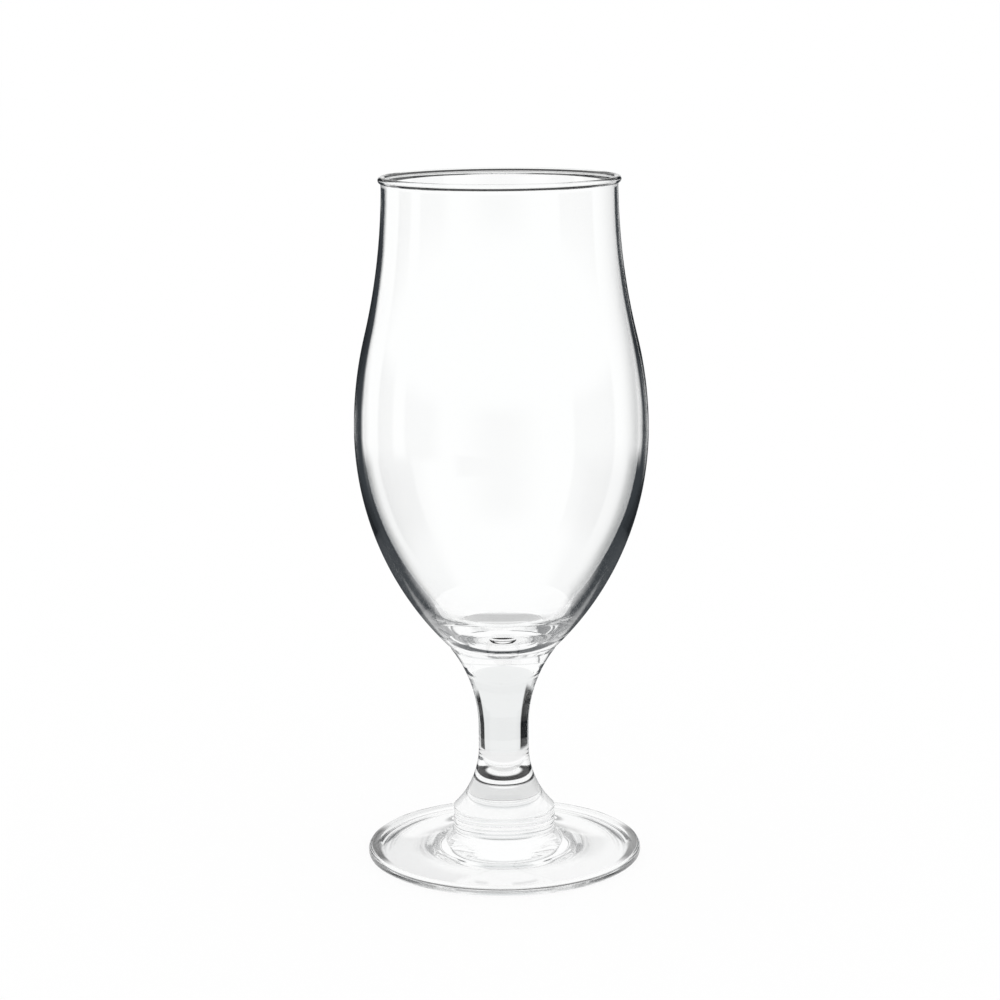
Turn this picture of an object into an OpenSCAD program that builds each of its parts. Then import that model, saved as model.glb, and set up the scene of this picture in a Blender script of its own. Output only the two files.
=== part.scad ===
// Chalice beer glass: a tulip bowl on a solid waisted stem and a round foot.
// Millimetres, +Z up, origin on the table under the middle of the foot.
// Every piece is a solid of revolution about Z, and its outline is built from true arcs.

/* [Overall] */
// Height from the table to the top of the rim
glass_h = 183.8; // [170:0.2:200]

/* [Bowl] */
// Outer diameter of the neck, just under the rim
neck_d = 61.8; // [55:0.2:70]
// Outer diameter of the belly, where the bowl is widest
belly_d = 78; // [72:0.5:86]
// Height of the belly's widest ring above the table
belly_h = 117; // [105:0.5:130]
// Share of the side's S-curve that is hollow, from the rim down
neck_curve_share = 0.62; // [0.4:0.01:0.75]
// Wall thickness at the neck
neck_wall = 1; // [0.8:0.1:2]
// Wall thickness at the belly
belly_wall = 2.3; // [1.6:0.1:3.2]
// How far the rounded rim stands out from the wall, outside
rim_swell_out = 0.8; // [0.3:0.05:1.2]
// How far the rounded rim stands out from the wall, inside
rim_swell_in = 0.05; // [0.02:0.01:0.4]
// Thickness of the bowl's floor over the weld to the stem
floor_t = 4; // [2.5:0.1:6]
// Inner bending radius of the bowl's floor
floor_bend = 26; // [18:0.5:30]

/* [Stem] */
// Height of the weld between bowl and stem
weld_h = 57.8; // [52:0.2:64]
// Diameter of the weld between bowl and stem
weld_d = 28; // [24:0.2:32]
// Height of the small upright collar under that weld
collar_h = 0.4; // [0.2:0.1:2]
// Diameter of the stem at its waist
waist_d = 13.5; // [10:0.1:17]
// Height where the waist's straight stretch begins
waist_h = 29.8; // [26:0.2:33]
// Length of the waist's straight stretch
waist_len = 5.6; // [3:0.2:9]

/* [Foot] */
// Height of the seat where the stem is welded to the foot's boss
seat_h = 13.4; // [11.5:0.1:16]
// Diameter of that seat
seat_d = 27; // [23:0.2:31]
// Rounding at the top corner of the boss
boss_corner = 0.8; // [0.4:0.1:1.6]
// Rounding where the boss meets the foot's slope
boss_fillet = 0.8; // [0.4:0.1:1.6]
// Height of the foot's slope where it meets the boss
slope_h = 6.7; // [5.6:0.1:8.5]
// Bending radius of the foot's hollow slope
slope_bend = 52; // [44:1:120]
// Diameter of the foot
foot_d = 74.2; // [66:0.2:82]
// Thickness of the foot's edge
edge_t = 2.8; // [2.5:0.1:3.4]
// Rounding of the edge's upper corner
edge_top_round = 1.3; // [0.8:0.1:1.6]
// Rounding of the edge's lower corner
edge_low_round = 1.1; // [0.5:0.1:1.4]
// Width of the flat ring that the glass stands on
ring_w = 1.4; // [0.8:0.1:4]
// Rise of the shallow hollow under the foot
hollow_h = 2.2; // [1:0.1:2.8]
// Diameter of the flat roof of that hollow
roof_d = 40; // [30:0.5:46]

/* [Hidden] */
$fn = 180;
glass_colour = [0.86, 0.91, 0.92, 0.45];
// How far one shape reaches into the next where their outlines run on smoothly
overrun = 0.01;
// How many degrees a round corner reaches past its ends, into the shapes beside it
lap = 20;

neck_r = neck_d / 2;
belly_r = belly_d / 2;
weld_r = weld_d / 2;
waist_r = waist_d / 2;
seat_r = seat_d / 2;
foot_r = foot_d / 2;
roof_r = roof_d / 2;
collar_low = weld_h - collar_h;
waist_top = waist_h + waist_len;

// The rim: a bead of melted edge, a little thicker than the wall
bead_r = (neck_wall + rim_swell_out + rim_swell_in) / 2;
bead_ring_r = neck_r + rim_swell_out - bead_r;
neck_h = glass_h - bead_r;

// The inside: the same curves, set in by the wall, over a rounded floor
inner_neck_r = neck_r - neck_wall;
inner_belly_r = belly_r - belly_wall;
floor_h = weld_h + floor_t;
floor_centre_h = floor_h + floor_bend;
floor_drop = belly_h - floor_centre_h;
inner_bend = (inner_belly_r ^ 2 + floor_drop ^ 2 - floor_bend ^ 2) / (2 * (inner_belly_r - floor_bend));
floor_top = belly_h - inner_bend * floor_drop / (inner_bend - floor_bend);

// Radius of the arc that leaves one upright tangent and ends this far along and across
function arc_bend(along, across) = (along ^ 2 + across ^ 2) / (2 * across);

// Upper point where two circles cross, their centres given from left to right
function circles_meet(first, first_r, second, second_r) =
    let (apart = second - first,
        along = (norm(apart) ^ 2 + first_r ^ 2 - second_r ^ 2) / (2 * norm(apart)),
        across = sqrt(first_r ^ 2 - along ^ 2))
    first + (along * apart + across * [-apart[1], apart[0]]) / norm(apart);

// Angle of the line from one point to another
function heading(start, end) = atan2(end[1] - start[1], end[0] - start[0]);

// Point at this angle and distance from another
function away(start, angle, distance) = start + distance * [cos(angle), sin(angle)];

// The boss: its corner carries on from the end of the stem's lower flare
flare_bend = arc_bend(waist_h - seat_h, seat_r - waist_r);
flare_angle = asin((waist_h - seat_h) / flare_bend);
boss_r = seat_r + boss_corner * (1 - cos(flare_angle));
boss_corner_centre = [boss_r - boss_corner, seat_h - boss_corner * sin(flare_angle)];

// The slope: a hollow arc that runs on smoothly from the boss's fillet to the edge's upper corner
fillet_centre = [boss_r + boss_fillet, slope_h + boss_fillet];
edge_centre = [foot_r - edge_top_round, edge_t - edge_top_round];
slope_centre = circles_meet(fillet_centre, slope_bend - boss_fillet, edge_centre, slope_bend + edge_top_round);
slope_start = heading(slope_centre, fillet_centre);
slope_end = heading(slope_centre, edge_centre);
low_centre = [foot_r - edge_low_round, edge_low_round];

// The hollow under the foot: a flat roof whose sides curve down to the standing ring
hollow_r = foot_r - edge_low_round - ring_w;
hollow_bend = arc_bend(hollow_r - roof_r, hollow_h);

// Outline from the axis to a hollow arc that is narrowest, r, at height h
module pinch(r, h, bend, low, high) {
    difference() {
        translate([0, low]) square([r + bend, high - low]);
        translate([r + bend, h]) circle(bend + overrun);
    }
}

// Outline from the axis to a round arc that is widest, r, at height h
module swell(r, h, bend, low, high, grow = overrun) {
    intersection() {
        translate([0, low]) square([r, high - low]);
        translate([r - bend, h]) circle(bend + grow);
    }
}

// Slice of a disc between two angles, from its middle out
module slice(centre, radius, from, to) {
    reach = 2 * radius;
    middle = (from + to) / 2;
    translate(centre) intersection() {
        circle(radius);
        polygon([[0, 0], reach * [cos(from), sin(from)], reach * [cos(middle), sin(middle)],
            reach * [cos(to), sin(to)]]);
    }
}

// Side of the bowl from the belly up to the neck: a round shoulder under a hollow neck
module bowl_side(neck, belly) {
    bends = arc_bend(neck_h - belly_h, belly - neck);
    turn = neck_h - (neck_h - belly_h) * neck_curve_share;
    pinch(neck, neck_h, bends * neck_curve_share, turn, neck_h);
    swell(belly, belly_h, bends * (1 - neck_curve_share), belly_h, neck_h);
}

module bowl_outside() {
    bowl_side(neck_r, belly_r);
    swell(belly_r, belly_h, arc_bend(belly_h - weld_h, belly_r - weld_r), weld_h, belly_h);
}

module bowl_inside() {
    bowl_side(inner_neck_r, inner_belly_r);
    swell(inner_belly_r, belly_h, inner_bend, floor_top, belly_h);
    swell(floor_bend, floor_centre_h, floor_bend, floor_h, floor_centre_h, 2 * overrun);
}

module bowl() {
    color(glass_colour) rotate_extrude() {
        difference() {
            bowl_outside();
            bowl_inside();
        }
        translate([bead_ring_r, neck_h]) circle(bead_r);
    }
}

module stem() {
    color(glass_colour) rotate_extrude() intersection() {
        square([weld_r, weld_h]);
        union() {
            translate([0, seat_h]) square([waist_r, weld_h - seat_h]);
            pinch(waist_r, waist_top, arc_bend(collar_low - waist_top, weld_r - waist_r), waist_top, weld_h);
            pinch(waist_r, waist_h, flare_bend, seat_h, waist_h);
        }
    }
}

// The foot's outline with its round corners cut off to their centres and its slope left full
module foot_core() {
    polygon([[0, 0], [low_centre[0], 0], low_centre, [foot_r, low_centre[1]], [foot_r, edge_centre[1]],
        edge_centre, away(slope_centre, slope_end, slope_bend), fillet_centre, [boss_r, fillet_centre[1]],
        [boss_r, boss_corner_centre[1]], boss_corner_centre, [boss_corner_centre[0], seat_h], [0, seat_h]]);
}

module foot_corners() {
    slice(low_centre, edge_low_round, -90 - lap, lap);
    slice(edge_centre, edge_top_round, -lap, 180 + slope_end + lap);
    slice(boss_corner_centre, boss_corner, -lap, 90 + lap);
}

module hollow() {
    square([roof_r + overrun, hollow_h]);
    translate([roof_r, 0]) swell(hollow_bend, hollow_h - hollow_bend, hollow_bend, 0, hollow_h);
}

module foot() {
    color(glass_colour) rotate_extrude() difference() {
        intersection() {
            square([foot_r, seat_h]);
            union() {
                foot_core();
                foot_corners();
            }
        }
        slice(fillet_centre, boss_fillet + 2 * overrun, 180 - lap, 360 + slope_start + lap);
        slice(slope_centre, slope_bend + overrun, slope_start, slope_end + lap);
        hollow();
    }
}

bowl();
stem();
foot();
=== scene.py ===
"""Chalice beer glass: the clear glass of its bowl, stem and foot, on a white studio floor."""
import math

import bmesh
import bpy
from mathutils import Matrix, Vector


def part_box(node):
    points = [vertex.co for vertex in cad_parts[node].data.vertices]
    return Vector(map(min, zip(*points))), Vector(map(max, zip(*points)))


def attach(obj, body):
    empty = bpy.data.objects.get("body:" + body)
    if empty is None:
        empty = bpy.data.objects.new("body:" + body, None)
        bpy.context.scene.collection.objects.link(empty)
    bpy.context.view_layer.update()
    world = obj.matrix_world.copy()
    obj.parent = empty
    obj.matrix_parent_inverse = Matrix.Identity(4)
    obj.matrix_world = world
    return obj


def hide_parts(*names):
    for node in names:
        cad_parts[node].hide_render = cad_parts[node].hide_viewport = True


MM = 0.001
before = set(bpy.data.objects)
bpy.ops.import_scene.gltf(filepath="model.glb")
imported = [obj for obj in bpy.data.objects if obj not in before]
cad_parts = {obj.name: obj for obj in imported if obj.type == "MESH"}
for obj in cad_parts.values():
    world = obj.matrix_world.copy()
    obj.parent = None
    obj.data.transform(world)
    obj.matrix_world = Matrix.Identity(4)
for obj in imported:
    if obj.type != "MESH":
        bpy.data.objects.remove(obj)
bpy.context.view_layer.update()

# Sizes that the frame gives, in metres
glass_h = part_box("bowl")[1].z
belly_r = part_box("bowl")[1].x
weld_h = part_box("stem")[1].z
weld_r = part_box("stem")[1].x
seat_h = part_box("foot")[1].z
foot_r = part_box("foot")[1].x

# Sizes of the bowl
neck_r = 30.9 * MM
belly_h = 117 * MM
neck_curve_share = 0.62
neck_wall = 1 * MM
belly_wall = 2.3 * MM
rim_swell_out = 0.8 * MM
rim_swell_in = 0.05 * MM
floor_t = 4 * MM
floor_bend = 26 * MM

# Sizes of the stem
collar_h = 0.4 * MM
waist_r = 6.75 * MM
waist_h = 29.8 * MM
waist_len = 5.6 * MM

# Sizes of the foot
seat_r = 13.5 * MM
boss_corner = 0.8 * MM
boss_fillet = 0.8 * MM
slope_h = 6.7 * MM
slope_bend = 52 * MM
edge_t = 2.8 * MM
edge_top_round = 1.3 * MM
edge_low_round = 1.1 * MM
ring_w = 1.4 * MM
hollow_h = 2.2 * MM
roof_r = 20 * MM

# How finely the pieces are turned, from the widest arcs to the smallest corners
TURN_STEPS = 192
TURN_ANGLES = [2 * math.pi * i / TURN_STEPS for i in range(TURN_STEPS)]
WIDE_STEP = math.radians(0.6)
ARC_STEP = math.radians(1.5)
CORNER_STEP = math.radians(6)
BEAD_STEP = math.radians(8)
LOW_CORNER_STEP = math.radians(10)
LINE_STEP = 2 * MM
# Two points closer than this are one, and an edge that turns more than this is sharp
SAME_POINT = 1e-7
SHARP = math.radians(24)
# Material slots of a piece
SKIN = 0
SEAM = 1

bead_r = (neck_wall + rim_swell_out + rim_swell_in) / 2
bead_ring_r = neck_r + rim_swell_out - bead_r
neck_h = glass_h - bead_r
inner_neck_r = neck_r - neck_wall
inner_belly_r = belly_r - belly_wall
floor_h = weld_h + floor_t


def arc_bend(along, across):
    """Radius of the arc that leaves one upright tangent and ends this far along and across."""
    return (along ** 2 + across ** 2) / (2 * across)


def arc(centre, radius, start, end, step=ARC_STEP):
    """Points of an arc from one angle to another, in radians from the outward direction."""
    count = max(3, math.ceil(abs(end - start) / step))
    angles = [start + (end - start) * i / count for i in range(count + 1)]
    return [(centre[0] + radius * math.cos(a), centre[1] + radius * math.sin(a)) for a in angles]


def line(start, end):
    """Points of a straight stretch of an outline."""
    count = max(1, math.ceil(math.dist(start, end) / LINE_STEP))
    return [(start[0] + (end[0] - start[0]) * i / count, start[1] + (end[1] - start[1]) * i / count)
            for i in range(count + 1)]


def joined(*runs):
    """One outline from runs of points, without doubled points where they meet."""
    outline = []
    for run in runs:
        for point in run:
            if not outline or math.dist(point, outline[-1]) > SAME_POINT:
                outline.append(point)
    return outline


def circles_meet(first, first_r, second, second_r):
    """The upper point where two circles cross, their centres given from left to right."""
    apart = second - first
    along = (apart.length_squared + first_r ** 2 - second_r ** 2) / (2 * apart.length)
    across = math.sqrt(first_r ** 2 - along ** 2)
    return first + apart.normalized() * along + Vector((-apart.y, apart.x)).normalized() * across


def flare_arc():
    """Radius of the stem's lower flare, and the angle that it turns through."""
    bend = arc_bend(waist_h - seat_h, seat_r - waist_r)
    return bend, math.asin((waist_h - seat_h) / bend)


def side_arcs(neck, belly):
    """The bowl's side from the neck down to the belly: a hollow neck over a round shoulder."""
    drop = neck_h - belly_h
    bend = arc_bend(drop, belly - neck)
    neck_bend = bend * neck_curve_share
    shoulder_bend = bend * (1 - neck_curve_share)
    turn = math.asin(drop / bend)
    return joined(arc((neck + neck_bend, neck_h), neck_bend, math.pi, math.pi + turn, WIDE_STEP),
                  arc((belly - shoulder_bend, belly_h), shoulder_bend, turn, 0, WIDE_STEP))


def bowl_outline():
    """From the middle of the floor, up the inside, over the rim and down the outside to the weld."""
    lower = arc_bend(belly_h - weld_h, belly_r - weld_r)
    lower_end = math.asin((belly_h - weld_h) / lower)
    floor_centre_h = floor_h + floor_bend
    drop = belly_h - floor_centre_h
    inner = (inner_belly_r ** 2 + drop ** 2 - floor_bend ** 2) / (2 * (inner_belly_r - floor_bend))
    meet = math.asin(drop / (inner - floor_bend))
    inner_meet = math.acos(max(-1, (inner_neck_r - bead_ring_r) / bead_r))
    outer_meet = math.acos((neck_r - bead_ring_r) / bead_r)
    bead_low_in = neck_h - bead_r * math.sin(inner_meet)
    bead_low_out = neck_h - bead_r * math.sin(outer_meet)
    inside = joined(arc((0, floor_centre_h), floor_bend, -math.pi / 2, -meet),
                    arc((inner_belly_r - inner, belly_h), inner, -meet, 0, WIDE_STEP),
                    side_arcs(inner_neck_r, inner_belly_r)[::-1])
    inside = [point for point in inside if point[1] < bead_low_in]
    outside = [point for point in side_arcs(neck_r, belly_r) if point[1] < bead_low_out]
    bead_start = math.pi + (math.pi - inner_meet)
    bead = arc((bead_ring_r, neck_h), bead_r, bead_start, -outer_meet, BEAD_STEP)
    below = arc((belly_r - lower, belly_h), lower, 0, -lower_end, WIDE_STEP)
    return joined(inside, bead, outside, below)


def stem_outline():
    """From the upper weld's edge down the side to the lower weld."""
    collar_low = weld_h - collar_h
    waist_top = waist_h + waist_len
    upper = arc_bend(collar_low - waist_top, weld_r - waist_r)
    upper_end = math.asin((collar_low - waist_top) / upper)
    flare, flare_end = flare_arc()
    return joined(line((weld_r, weld_h), (weld_r, collar_low)),
                  arc((waist_r + upper, waist_top), upper, math.pi - upper_end, math.pi),
                  line((waist_r, waist_top), (waist_r, waist_h)),
                  arc((waist_r + flare, waist_h), flare, math.pi, math.pi + flare_end))


def foot_outline():
    """From the seat's edge down the boss, along the slope, round the edge and in under the hollow."""
    turn = flare_arc()[1]
    boss_r = seat_r + boss_corner * (1 - math.cos(turn))
    corner = (boss_r - boss_corner, seat_h - boss_corner * math.sin(turn))
    fillet = Vector((boss_r + boss_fillet, slope_h + boss_fillet))
    edge = Vector((foot_r - edge_top_round, edge_t - edge_top_round))
    slope = circles_meet(fillet, slope_bend - boss_fillet, edge, slope_bend + edge_top_round)
    slope_start = math.atan2(fillet.y - slope.y, fillet.x - slope.x)
    slope_end = math.atan2(edge.y - slope.y, edge.x - slope.x)
    low = (foot_r - edge_low_round, edge_low_round)
    hollow_r = foot_r - edge_low_round - ring_w
    hollow = arc_bend(hollow_r - roof_r, hollow_h)
    rise = math.asin((hollow_r - roof_r) / hollow)
    boss = joined(arc(corner, boss_corner, turn, 0, CORNER_STEP),
                  arc(fillet, boss_fillet, math.pi, 2 * math.pi + slope_start, CORNER_STEP),
                  arc(slope, slope_bend, slope_start, slope_end, WIDE_STEP))
    rim = joined(arc(edge, edge_top_round, math.pi + slope_end, 0, CORNER_STEP),
                 arc(low, edge_low_round, 0, -math.pi / 2, LOW_CORNER_STEP))
    under = joined(arc((roof_r, hollow_h - hollow), hollow, math.pi / 2 - rise, math.pi / 2),
                   line((roof_r, hollow_h), (0, hollow_h)))
    return joined(boss, rim, line(rim[-1], (hollow_r, 0)), under)


def weld_run(radius, height):
    """The flat weld face, from its edge to the axis."""
    return line((radius, height), (0, height))


def turned(name, outline, welds, skin, seam):
    """A closed solid of revolution. Each weld is a flat run to the axis from one end of the outline."""
    mesh = bpy.data.meshes.new(name)
    bm = bmesh.new()

    def circle(point):
        if point[0] < SAME_POINT:
            return [bm.verts.new((0, 0, point[1]))]
        return [bm.verts.new((point[0] * math.cos(a), point[0] * math.sin(a), point[1])) for a in TURN_ANGLES]

    def band(upper, lower, slot):
        for i in range(TURN_STEPS):
            j = (i + 1) % TURN_STEPS
            corners = [upper[i % len(upper)], upper[j % len(upper)],
                       lower[j % len(lower)], lower[i % len(lower)]]
            corners = [v for k, v in enumerate(corners) if v not in corners[:k]]
            bm.faces.new(corners).material_index = slot

    circles = [circle(point) for point in outline]
    for upper, lower in zip(circles, circles[1:]):
        band(upper, lower, SKIN)
    for run, end in welds:
        weld_circles = [circles[end]] + [circle(point) for point in run[1:]]
        for upper, lower in zip(weld_circles, weld_circles[1:]):
            band(upper, lower, SEAM)
    bmesh.ops.recalc_face_normals(bm, faces=bm.faces)
    for face in bm.faces:
        face.smooth = True
    for edge in bm.edges:
        edge.smooth = edge.calc_face_angle(0) < SHARP
    bm.to_mesh(mesh)
    bm.free()
    mesh.materials.append(skin)
    mesh.materials.append(seam)
    piece = bpy.data.objects.new(name, mesh)
    bpy.context.scene.collection.objects.link(piece)
    return piece


class Tree:
    """Short ways to build one node tree."""

    def __init__(self, tree):
        self.tree = tree
        tree.nodes.clear()

    def link(self, source, socket):
        self.tree.links.new(source, socket)

    def put(self, socket, value):
        """Sets a socket to a number, a vector or a colour, or links it."""
        if isinstance(value, bpy.types.NodeSocket):
            self.link(value, socket)
        else:
            socket.default_value = value

    def add(self, kind, **values):
        """A node with these inputs by name, underscores for spaces."""
        node = self.tree.nodes.new(kind)
        for name, value in values.items():
            self.put(node.inputs[name.replace("_", " ")], value)
        return node

    def show(self, shader, output="ShaderNodeOutputMaterial"):
        """Ends the tree with this shader."""
        self.link(shader.outputs[0], self.add(output).inputs["Surface"])

    def maths(self, operation, *values):
        node = self.add("ShaderNodeMath")
        node.operation = operation
        for socket, value in zip(node.inputs, values):
            self.put(socket, value)
        return node.outputs[0]

    def times(self, first, second):
        return self.maths("MULTIPLY", first, second)

    def rest(self, value):
        """What is left of one."""
        return self.maths("SUBTRACT", 1, value)

    def most(self, first, *others):
        """The greatest of these values."""
        for value in others:
            first = self.maths("MAXIMUM", first, value)
        return first

    def distance(self, place, centre):
        """How far a place lies from a fixed point."""
        node = self.add("ShaderNodeVectorMath")
        node.operation = "DISTANCE"
        self.put(node.inputs[0], place)
        self.put(node.inputs[1], centre)
        return node.outputs["Value"]

    def ramp(self, value, start, end, low, high):
        """A smooth step from low at start to high at end."""
        node = self.add("ShaderNodeMapRange", Value=value, From_Min=start, From_Max=end,
                        To_Min=low, To_Max=high)
        node.interpolation_type = "SMOOTHSTEP"
        return node.outputs["Result"]

    def between(self, value, start, full, last, end):
        """One from full to last, falling softly to nothing at start and at end."""
        return self.times(self.ramp(value, start, full, 0, 1), self.ramp(value, last, end, 1, 0))

    def flag(self, azimuth, edges, height, ends):
        """How much of a flag between these edges and ends covers this place."""
        return self.times(self.between(azimuth, *edges), self.between(height, *ends))

    def mixed(self, factor, first, second):
        node = self.add("ShaderNodeMix", Factor=factor)
        self.put(node.inputs["A"], first)
        self.put(node.inputs["B"], second)
        return node.outputs["Result"]

    def mixed_colour(self, factor, first, second):
        node = self.add("ShaderNodeMixRGB", Fac=factor, Color1=first, Color2=second)
        return node.outputs[0]


def new_material(name):
    """A material and its empty node tree."""
    material = bpy.data.materials.new(name)
    material.use_nodes = True
    return material, Tree(material.node_tree)


# The glass: how it bends light, its faint streaks of tint and the swirl left by the fire polish
GLASS_IOR = 1.52
CLEAR = (1, 1, 1, 1)
FAINT_GREEN = (0.992, 0.999, 0.997, 1)
STREAK_SCALE = 45
STREAK_DETAIL = 3
SWIRL_SCALE = 70
SWIRL_DETAIL = 1
SWIRL_HEIGHT = 0.03 * MM


def glass_material():
    """Clear soda-lime glass with the faint unevenness of a fire-polished surface."""
    material, tree = new_material("clear_glass")
    place = tree.add("ShaderNodeTexCoord").outputs["Object"]
    streaks = tree.add("ShaderNodeTexNoise", Vector=place, Scale=STREAK_SCALE, Detail=STREAK_DETAIL)
    swirl = tree.add("ShaderNodeTexNoise", Vector=place, Scale=SWIRL_SCALE, Detail=SWIRL_DETAIL)
    tint = tree.mixed_colour(streaks.outputs[0], CLEAR, FAINT_GREEN)
    bump = tree.add("ShaderNodeBump", Strength=1, Distance=SWIRL_HEIGHT, Height=swirl.outputs[0])
    tree.show(tree.add("ShaderNodeBsdfPrincipled", Base_Color=tint, Roughness=0, IOR=GLASS_IOR,
                       Transmission_Weight=1, Normal=bump.outputs[0]))
    return material


def weld_material():
    """The fused faces between the pieces, where glass runs on into glass."""
    material, tree = new_material("fused_weld")
    tree.show(tree.add("ShaderNodeBsdfTransparent"))
    return material


glass, weld = glass_material(), weld_material()
upper_weld = weld_run(weld_r, weld_h)
lower_weld = weld_run(seat_r, seat_h)
bowl = turned("bowl_glass", bowl_outline(), [(upper_weld, -1)], glass, weld)
stem = turned("stem_glass", stem_outline(), [(upper_weld, 0), (lower_weld, -1)], glass, weld)
foot = turned("foot_glass", foot_outline(), [(lower_weld, 0)], glass, weld)
for piece, node in ((bowl, "bowl"), (stem, "stem"), (foot, "foot")):
    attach(piece, "root")
    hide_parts(node)

# The camera of the photograph, fitted to the glass's own outline
LENS = 91.8
SENSOR = 36
CAMERA_PLACE = Vector((-0.5, -666.1, 231.4)) * MM
CAMERA_DOWN = math.radians(11.343)
CAMERA_ROLL = math.radians(-0.45)

camera_data = bpy.data.cameras.new("camera")
camera_data.lens = LENS
camera_data.sensor_width = SENSOR
camera = bpy.data.objects.new("camera", camera_data)
camera.location = CAMERA_PLACE
camera.rotation_euler = (math.pi / 2 - CAMERA_DOWN, 0, 0)
camera.rotation_euler.rotate_axis("Z", CAMERA_ROLL)
bpy.context.scene.collection.objects.link(camera)
bpy.context.scene.camera = camera

# The studio. Azimuths and elevations are in degrees, azimuth 0 along +Y and positive to the left of the
# photograph, and lengths in metres. A set of four says where a band starts, is full, is last full and ends,
# and a set of two says where a soft edge starts and ends. A level or a darkness lies between nothing and one
DEGREES = 180 / math.pi
BLACK = (0.002, 0.002, 0.002, 1)
DARK = (0.042, 0.048, 0.054, 1)
PALE = (0.77, 0.785, 0.79, 1)
SOFT_WHITE = (0.85, 0.86, 0.86, 1)
WHITE = (1, 1, 1, 1)

# Up to this many surfaces a ray has come through solid glass, and past it through the hollow bowl
SOLID_PASSES = 2
# Past these counts of bounces a ray comes out dimmed, and then dark
DIMMED_PAST = 7
DIMMED_DARK = 0.6
TRAPPED_PAST = 16
TRAPPED_DARK = 0.95

# The floor: the part of the table that shows in the glass, and the rest of it for the camera
TABLE_R = 76 * MM
FLOOR_R = 6
FLOOR_GLOW = 0.9
FLOOR_DROP = -0.05 * MM
DISC_STEPS = 128
MATT = (1 - FLOOR_GLOW,) * 3 + (1,)

# The ring of painted shade on the floor that shows mirrored in the flare
FLARE_RING_CENTRE = (0, -5 * MM, 0)
FLARE_RING = (9 * MM, 11.5 * MM, 16 * MM, 16.8 * MM)
# The half ring of painted shade that shows twice mirrored in the foot's edge, up to its back
EDGE_RING = (16 * MM, 18 * MM, 28 * MM, 30 * MM)
EDGE_RING_BACK = (-8 * MM, -2 * MM)
EDGE_RING_DARK = 0.85
# The strip under the foot's edge, painted shade to rays that are dimmed or trapped
EDGE_STRIP = (31 * MM, 34 * MM, 44 * MM, 48 * MM)
# The strip's ends on the left and the right, painted shade which shows straight through the foot, and the
# outer floor, painted a little grey, which shows straight through the stem
END_STRIP = (33.5 * MM, 34.2 * MM, 40 * MM, 41 * MM)
END_WIDTH = (10 * MM, 18 * MM)
END_DARK = 0.95
OUTER_EDGE = (42 * MM, 48 * MM)
OUTER_DARK = 0.14
# The grey painted shadow ring shown through the bowl's bottom, and the painted shade disc shown through the
# flare
BOWL_SHADOW_RING = (37 * MM, 42 * MM, 64 * MM, 76 * MM)
BOWL_SHADOW_RING_DARK = 0.5
FLARE_DISC = (33 * MM, 37 * MM)
FLARE_DISC_DARK = 0.3

# The wall around the glass that shows in the solid stem, and its dark flags
STEM_WALL_R = 90 * MM
STEM_WALL_LOW = -400 * MM
STEM_WALL_HIGH = 118 * MM
LEFT_FLAG = (28, 32, 63, 70)
LEFT_FLAG_HEIGHT = (-8 * MM, 0, 60 * MM, 75 * MM)
RIGHT_FLAG = (-36, -39.5, -56, -62)
RIGHT_FLAG_HEIGHT = (-60 * MM, -50 * MM, 50 * MM, 70 * MM)

# The wall that shows in the boss and the foot: its pale middle, its dark stretches on both sides to what is
# mirrored three or four times, where it ends for spent rays, and how high it shows to what is mirrored once
FOOT_WALL_R = 60 * MM
FOOT_WALL_HIGH = 40 * MM
PALE_EDGE = (8, 16)
BESIDE = (22, 28, 45, 55)
BESIDE_DARK = 0.9
SPENT_EDGE = (128, 140)
ONCE_HIGH = 8 * MM

# The dark collar above the glass, which shows in the front of the rim
COLLAR_R = 60 * MM
COLLAR_LOW = 196 * MM
COLLAR_HIGH = 270 * MM

# The sky straight through the rim's bead: dark low ahead, and all round near the level and above it
BEAD_AHEAD = (-30, -20, 20, 30)
BEAD_BELOW = (-33, -27, -4.9, -4.6)
BEAD_LEVEL = (-1.6, -1.2, 1, 2)
BEAD_ABOVE = (6.4, 7, 9, 11)

# The sky to rays turned back and forth inside the glass, below and above this soft edge
LEVEL_EDGE = (-3, 3)
# Low in it, dark bands that show along the edges of the bowl, and where the steep ones give way
STEEP_BANDS = ((-62, -52, 48, 56), (60, 64, 100, 105),
               (-75, -80, -118, -122), (-140, -178, -180, -190), (140, 178, 180, 190))
SHALLOW_BANDS = ((4, 9, 32, 40), (-12, -18, -27, -34), (62, 66, 81, 86), (94, 99, 118, 135),
                 (-75, -80, -118, -122), (-140, -178, -180, -190), (140, 178, 180, 190))
STEEP_EDGE = (-16, -11)
BANDS_LOW_EDGE = (-49, -32)
# A short dark band behind the viewer's left, for the stem's right bar
BACK_BAND = (138, 148, 180, 190)
BACK_BAND_HEIGHT = (-22, -19, -12, -10)
# High in it, white up to a few bounces, and another field past each of these counts
FEW_BOUNCES = 2
SOME_BOUNCES = 4
MANY_BOUNCES = 6
MOST_BOUNCES = 9
# Past a few, white on the right and dark on the left, with a dark lip ahead
FEW_EDGE = (12, 28)
FEW_LEFT = 0.15
LIP_EDGE = (14, 20)
LIP_HEIGHT = (20, 24, 33, 37)
LIP_DARK = 0.85
# Up to many, a white shoulder on both sides
SHOULDER = (20, 26, 64, 70)
SHOULDER_HEIGHT = (26, 31, 50, 54)
# Past some, dark but for the zenith
MANY_EDGE = (-20, 20)
MANY_RIGHT = 0.25
MANY_LEFT = 0.08
MOST_LEVEL = 0.03
ZENITH_EDGE = (46, 58)
ZENITH_LEVEL = 0.5

# The sky through the hollow bowl: white ahead of each of eight sides, falling off beside it, and dark
# at the brim
SIDE_STEP = 45
RIGHT_FALLOFF = (-9, -20)
RIGHT_LEVEL = 0.42
LEFT_FALLOFF = (15, 22.5)
LEFT_LEVEL = 0.5
BRIM_BAND = (6, 9, 20, 30)

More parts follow.
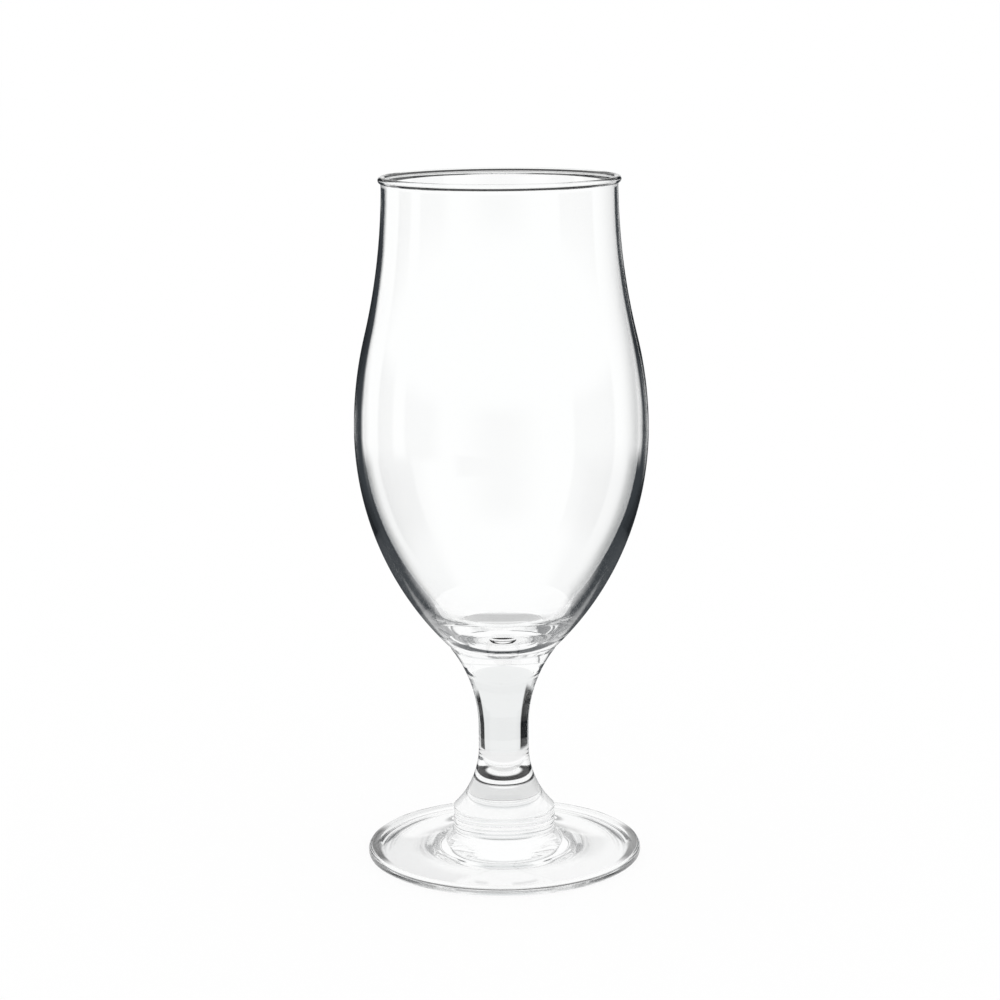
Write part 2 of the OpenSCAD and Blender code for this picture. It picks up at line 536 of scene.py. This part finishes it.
# The sky mirrored inside the bowl's walls, a little under white ahead
MIRRORED_LEFT = (30, 50)
MIRRORED_RIGHT = (-30, -80)
MIRRORED_LEVEL = 0.97

# The sky mirrored in the surface that faces the ray: dark ahead and low, between white sides
FACING_LEFT = (36, 44)
FACING_RIGHT = (-48, -80)
FACING_LOW_EDGE = (-20, -8)
FACING_LOW = 0.05
# White again steeply below, high up, on the viewer's side and in a narrow gap ahead
STEEP_FACING = (-34, -29)
STEEP_FACING_SIDES = (34, 42)
HIGH_FACING = (10, 17)
VIEWER_SIDES = (100, 125)
GAP_LOW_EDGE = (-4, 0)
GAP_SIDES = (8, 12)
# A grey cloud ahead, with a clear slot in it
CLOUD_HEIGHT = (15, 18, 26, 32)
CLOUD_SIDES = (30, 50)
CLOUD_DARK = 0.65
SLOT = (-9, -6, -1.5, 0.5)
SLOT_CLEAR = 0.8


def stage_ring(name, near, far, material, filled=False):
    """A band of the stage between two circles, each a radius and a height. The near one may be filled."""
    mesh = bpy.data.meshes.new(name)
    bm = bmesh.new()
    angles = [2 * math.pi * i / DISC_STEPS for i in range(DISC_STEPS)]
    circles = []
    for radius, height in (near, far):
        circles.append([bm.verts.new((radius * math.cos(a), radius * math.sin(a), height)) for a in angles])
    for i in range(DISC_STEPS):
        j = (i + 1) % DISC_STEPS
        bm.faces.new((circles[0][i], circles[1][i], circles[1][j], circles[0][j]))
    if filled:
        bm.faces.new(circles[0])
    bm.to_mesh(mesh)
    bm.free()
    mesh.materials.append(material)
    piece = bpy.data.objects.new(name, mesh)
    bpy.context.scene.collection.objects.link(piece)
    return piece


class Paths:
    """How a ray came through the glass: straight or bounced, and through how many surfaces."""

    def __init__(self, tree):
        self.tree = tree
        self.light = tree.add("ShaderNodeLightPath").outputs
        self.bounces = self.light["Glossy Depth"]
        passes = self.light["Transmission Depth"]
        self.bounced = tree.maths("MINIMUM", self.bounces, 1)
        self.in_glass = tree.maths("GREATER_THAN", passes, 0.5)
        self.in_bowl = tree.maths("GREATER_THAN", passes, SOLID_PASSES + 0.5)
        in_solid = tree.maths("SUBTRACT", self.in_glass, self.in_bowl)
        straight = tree.rest(self.bounced)
        self.straight_solid = tree.times(in_solid, straight)
        self.bounced_solid = tree.times(in_solid, self.bounced)
        self.straight_bowl = tree.times(self.in_bowl, straight)

    def counted(self, fewest, most):
        """One for a ray with a count of bounces in this range."""
        return self.tree.maths("COMPARE", self.bounces, (fewest + most) / 2, (most - fewest) / 2 + 0.1)

    def past(self, count):
        """One for a ray with more bounces than this."""
        return self.tree.maths("GREATER_THAN", self.bounces, count + 0.5)

    def spent(self):
        """How dark a ray is after its bounces inside the glass."""
        return self.tree.most(self.tree.times(self.past(DIMMED_PAST), DIMMED_DARK),
                              self.tree.times(self.past(TRAPPED_PAST), TRAPPED_DARK))


def azimuth_of(tree, x, y):
    return tree.times(tree.maths("ARCTAN2", tree.times(x, -1), y), DEGREES)


def floor_painted_shade(tree, paths):
    """How dark the floor shows in the glass: shade painted on the floor, which only rays through the glass
    see.
    """
    place = tree.add("ShaderNodeTexCoord").outputs["Object"]
    along = tree.add("ShaderNodeSeparateXYZ", Vector=place).outputs["Y"]
    out = tree.distance(place, (0, 0, 0))
    flare = tree.between(tree.distance(place, FLARE_RING_CENTRE), *FLARE_RING)
    flare = tree.times(flare, paths.counted(1, 2))
    edge = tree.times(tree.between(out, *EDGE_RING), tree.ramp(along, *EDGE_RING_BACK, EDGE_RING_DARK, 0))
    edge = tree.times(edge, paths.counted(2, 2))
    strip = tree.times(tree.between(out, *EDGE_STRIP), paths.spent())
    across = tree.ramp(tree.maths("ABSOLUTE", along), *END_WIDTH, END_DARK, 0)
    ends = tree.times(tree.between(out, *END_STRIP), across)
    ends = tree.most(ends, tree.ramp(out, *OUTER_EDGE, 0, OUTER_DARK))
    under = tree.times(tree.between(out, *BOWL_SHADOW_RING), BOWL_SHADOW_RING_DARK)
    under = tree.most(under, tree.ramp(out, *FLARE_DISC, FLARE_DISC_DARK, 0))
    dark = tree.maths("ADD", tree.times(tree.most(flare, edge, strip), paths.bounced_solid),
                      tree.times(ends, paths.straight_solid))
    return tree.maths("ADD", dark, tree.times(under, paths.straight_bowl))


def floor_material():
    """White to the camera and in the glass, with painted shade that only the glass shows and room left for
    the glass's faint shadow.
    """
    material, tree = new_material("white_floor")
    paths = Paths(tree)
    dark = floor_painted_shade(tree, paths)
    seen = tree.most(paths.light["Is Camera Ray"], paths.light["Is Glossy Ray"],
                     paths.light["Is Transmission Ray"])
    # The painted shade takes away the floor's glow and turns its matt part black, only to rays through the
    # glass
    glow = tree.times(tree.times(seen, FLOOR_GLOW), tree.rest(dark))
    both = tree.add("ShaderNodeAddShader")
    matt = tree.add("ShaderNodeBsdfDiffuse", Color=tree.mixed_colour(dark, MATT, BLACK))
    tree.link(matt.outputs[0], both.inputs[0])
    tree.link(tree.add("ShaderNodeEmission", Strength=glow).outputs[0], both.inputs[1])
    tree.show(both)
    return material


def wall_material(name, shading):
    """Lit for one kind of ray and clear to the rest. The shading gives its colour and those rays."""
    material, tree = new_material(name)
    place = tree.add("ShaderNodeTexCoord").outputs["Object"]
    colour, rays = shading(tree, tree.add("ShaderNodeSeparateXYZ", Vector=place).outputs, Paths(tree))
    mix = tree.add("ShaderNodeMixShader", Fac=rays)
    tree.link(tree.add("ShaderNodeBsdfTransparent").outputs[0], mix.inputs[1])
    tree.link(tree.add("ShaderNodeEmission", Color=colour).outputs[0], mix.inputs[2])
    tree.show(mix)
    return material


def stem_shading(tree, place, paths):
    """White between black flags, to what comes straight through the stem."""
    azimuth = azimuth_of(tree, place["X"], place["Y"])
    shade = tree.most(tree.flag(azimuth, LEFT_FLAG, place["Z"], LEFT_FLAG_HEIGHT),
                      tree.flag(azimuth, RIGHT_FLAG, place["Z"], RIGHT_FLAG_HEIGHT))
    return tree.mixed_colour(shade, SOFT_WHITE, BLACK), paths.straight_solid


def collar_shading(tree, place, paths):
    """Black, to what comes straight through the rim's bead."""
    return BLACK, paths.straight_solid


def foot_shading(tree, place, paths):
    """Pale ahead and white beside it, to what is mirrored inside the boss and the foot."""
    aside = tree.maths("ABSOLUTE", azimuth_of(tree, place["X"], place["Y"]))
    colour = tree.mixed_colour(tree.ramp(aside, *PALE_EDGE, 0, 1), PALE, WHITE)
    beside = tree.times(paths.counted(3, 4), tree.between(aside, *BESIDE))
    tired = tree.times(paths.spent(), tree.ramp(aside, *SPENT_EDGE, 1, 0))
    dark = tree.most(tree.times(beside, BESIDE_DARK), tired)
    above = tree.times(paths.counted(1, 1), tree.maths("GREATER_THAN", place["Z"], ONCE_HIGH))
    return tree.mixed_colour(dark, colour, DARK), tree.times(paths.bounced_solid, tree.rest(above))


def stage_wall(name, radius, low, high, shading):
    """A wall around the glass that shows only in it."""
    wall = stage_ring(name, (radius, low), (radius, high), wall_material(name, shading))
    wall.visible_camera = False
    wall.visible_diffuse = False
    wall.visible_shadow = False
    return wall


white_floor = floor_material()
stage_ring("table", (TABLE_R / 2, FLOOR_DROP), (TABLE_R, FLOOR_DROP), white_floor, filled=True)
surround = stage_ring("surround", (TABLE_R, FLOOR_DROP), (FLOOR_R, FLOOR_DROP), white_floor)
surround.visible_glossy = False
surround.visible_transmission = False
stem_wall = stage_wall("stem_wall", STEM_WALL_R, STEM_WALL_LOW, STEM_WALL_HIGH, stem_shading)
stem_wall.visible_glossy = False
collar = stage_wall("collar", COLLAR_R, COLLAR_LOW, COLLAR_HIGH, collar_shading)
collar.visible_glossy = False
stage_wall("foot_wall", FOOT_WALL_R, 0, FOOT_WALL_HIGH, foot_shading)


class Sky:
    """How white the sky shows to each kind of ray."""

    def __init__(self, tree):
        self.tree = tree
        self.paths = Paths(tree)
        place = tree.add("ShaderNodeTexCoord").outputs["Generated"]
        heading = tree.add("ShaderNodeSeparateXYZ", Vector=place).outputs
        self.azimuth = azimuth_of(tree, heading["X"], heading["Y"])
        self.across = tree.maths("ABSOLUTE", self.azimuth)
        self.elevation = tree.times(tree.maths("ARCSINE", heading["Z"]), DEGREES)

    def sides(self, left, right, level):
        """This level straight ahead, white past these azimuths on the left and on the right."""
        return self.tree.most(self.tree.ramp(self.azimuth, *left, level, 1),
                              self.tree.ramp(self.azimuth, *right, level, 1))

    def bands(self, ranges):
        """How much of these dark bands lies this way."""
        return self.tree.most(*[self.tree.between(self.azimuth, *edges) for edges in ranges])

    def past(self, count, fewer, more):
        """One value up to this many bounces, another past them."""
        return self.tree.mixed(self.paths.past(count), fewer, more)

    def bead(self):
        """Straight through the rim's bead."""
        below = self.tree.flag(self.azimuth, BEAD_AHEAD, self.elevation, BEAD_BELOW)
        level = self.tree.most(self.tree.between(self.elevation, *BEAD_LEVEL),
                               self.tree.between(self.elevation, *BEAD_ABOVE))
        return self.tree.rest(self.tree.most(below, level))

    def downwards(self):
        """Turned back and forth inside the glass and out downwards."""
        tree = self.tree
        steep_or_shallow = tree.ramp(self.elevation, *STEEP_EDGE, 0, 1)
        dark = tree.mixed(steep_or_shallow, self.bands(STEEP_BANDS), self.bands(SHALLOW_BANDS))
        dark = tree.times(dark, tree.ramp(self.elevation, *BANDS_LOW_EDGE, 0, 1))
        behind = tree.flag(self.azimuth, BACK_BAND, self.elevation, BACK_BAND_HEIGHT)
        return tree.rest(tree.most(dark, behind))

    def upwards(self):
        """Turned back and forth inside the glass and out upwards."""
        tree = self.tree
        many = self.past(MOST_BOUNCES, tree.ramp(self.azimuth, *MANY_EDGE, MANY_RIGHT, MANY_LEFT), MOST_LEVEL)
        many = tree.most(many, tree.ramp(self.elevation, *ZENITH_EDGE, 0, ZENITH_LEVEL))
        shoulder = tree.flag(self.across, SHOULDER, self.elevation, SHOULDER_HEIGHT)
        some = self.past(MANY_BOUNCES, tree.most(many, shoulder), many)
        lip = tree.times(tree.ramp(self.across, *LIP_EDGE, LIP_DARK, 0),
                         tree.between(self.elevation, *LIP_HEIGHT))
        few = tree.maths("SUBTRACT", tree.ramp(self.azimuth, *FEW_EDGE, 1, FEW_LEFT), lip)
        return self.past(FEW_BOUNCES, 1, self.past(SOME_BOUNCES, tree.most(few, shoulder), some))

    def hollow(self):
        """Straight through the hollow bowl."""
        tree = self.tree
        turned_by = tree.maths("ADD", self.azimuth, 360 + SIDE_STEP / 2)
        turn = tree.maths("SUBTRACT", tree.maths("FLOORED_MODULO", turned_by, SIDE_STEP), SIDE_STEP / 2)
        falloff = tree.maths("MINIMUM", tree.ramp(turn, *RIGHT_FALLOFF, 1, RIGHT_LEVEL),
                             tree.ramp(turn, *LEFT_FALLOFF, 1, LEFT_LEVEL))
        return tree.times(falloff, tree.rest(tree.between(self.elevation, *BRIM_BAND)))

    def facing(self):
        """Mirrored in the surface that faces the ray."""
        tree = self.tree
        shown = tree.times(self.sides(FACING_LEFT, FACING_RIGHT, 0),
                           tree.ramp(self.elevation, *FACING_LOW_EDGE, FACING_LOW, 1))
        gap = tree.times(tree.ramp(self.elevation, *GAP_LOW_EDGE, 0, 1),
                         tree.ramp(self.across, *GAP_SIDES, 1, 0))
        steep = tree.times(tree.ramp(self.elevation, *STEEP_FACING, 1, 0),
                           tree.ramp(self.across, *STEEP_FACING_SIDES, 1, 0))
        high = tree.ramp(self.elevation, *HIGH_FACING, 0, 1)
        shown = tree.most(shown, gap, steep, high, tree.ramp(self.across, *VIEWER_SIDES, 0, 1))
        cloud = tree.times(tree.between(self.elevation, *CLOUD_HEIGHT),
                           tree.ramp(self.across, *CLOUD_SIDES, CLOUD_DARK, 0))
        slot = tree.times(tree.between(self.azimuth, *SLOT), SLOT_CLEAR)
        return tree.maths("SUBTRACT", shown, tree.times(cloud, tree.rest(slot)))

    def colour(self):
        """What the sky shows to any ray, and white to the camera."""
        tree, paths = self.tree, self.paths
        rising = tree.ramp(self.elevation, *LEVEL_EDGE, 0, 1)
        guided = tree.mixed(rising, self.downwards(), self.upwards())
        mirrored = self.sides(MIRRORED_LEFT, MIRRORED_RIGHT, MIRRORED_LEVEL)
        straight = tree.mixed(paths.in_bowl, self.bead(), self.hollow())
        bounced = tree.mixed(paths.in_bowl, guided, mirrored)
        through = tree.mixed(paths.bounced, straight, bounced)
        off = tree.mixed(paths.bounced, 1, self.facing())
        shown = tree.mixed(paths.in_glass, off, through)
        return tree.mixed_colour(shown, tree.mixed_colour(paths.straight_solid, DARK, BLACK), WHITE)


def studio_world():
    """White to the camera and as light, and to the clear glass a white field between dark flags."""
    world = bpy.data.worlds.new("studio")
    bpy.context.scene.world = world
    world.use_nodes = True
    tree = Tree(world.node_tree)
    tree.show(tree.add("ShaderNodeBackground", Color=Sky(tree).colour()), "ShaderNodeOutputWorld")


studio_world()

scene = bpy.context.scene
scene.view_settings.view_transform = "Standard"
scene.cycles.max_bounces = 48
scene.cycles.transmission_bounces = 32
scene.cycles.glossy_bounces = 32
scene.cycles.transparent_max_bounces = 32
scene.cycles.use_denoising = True
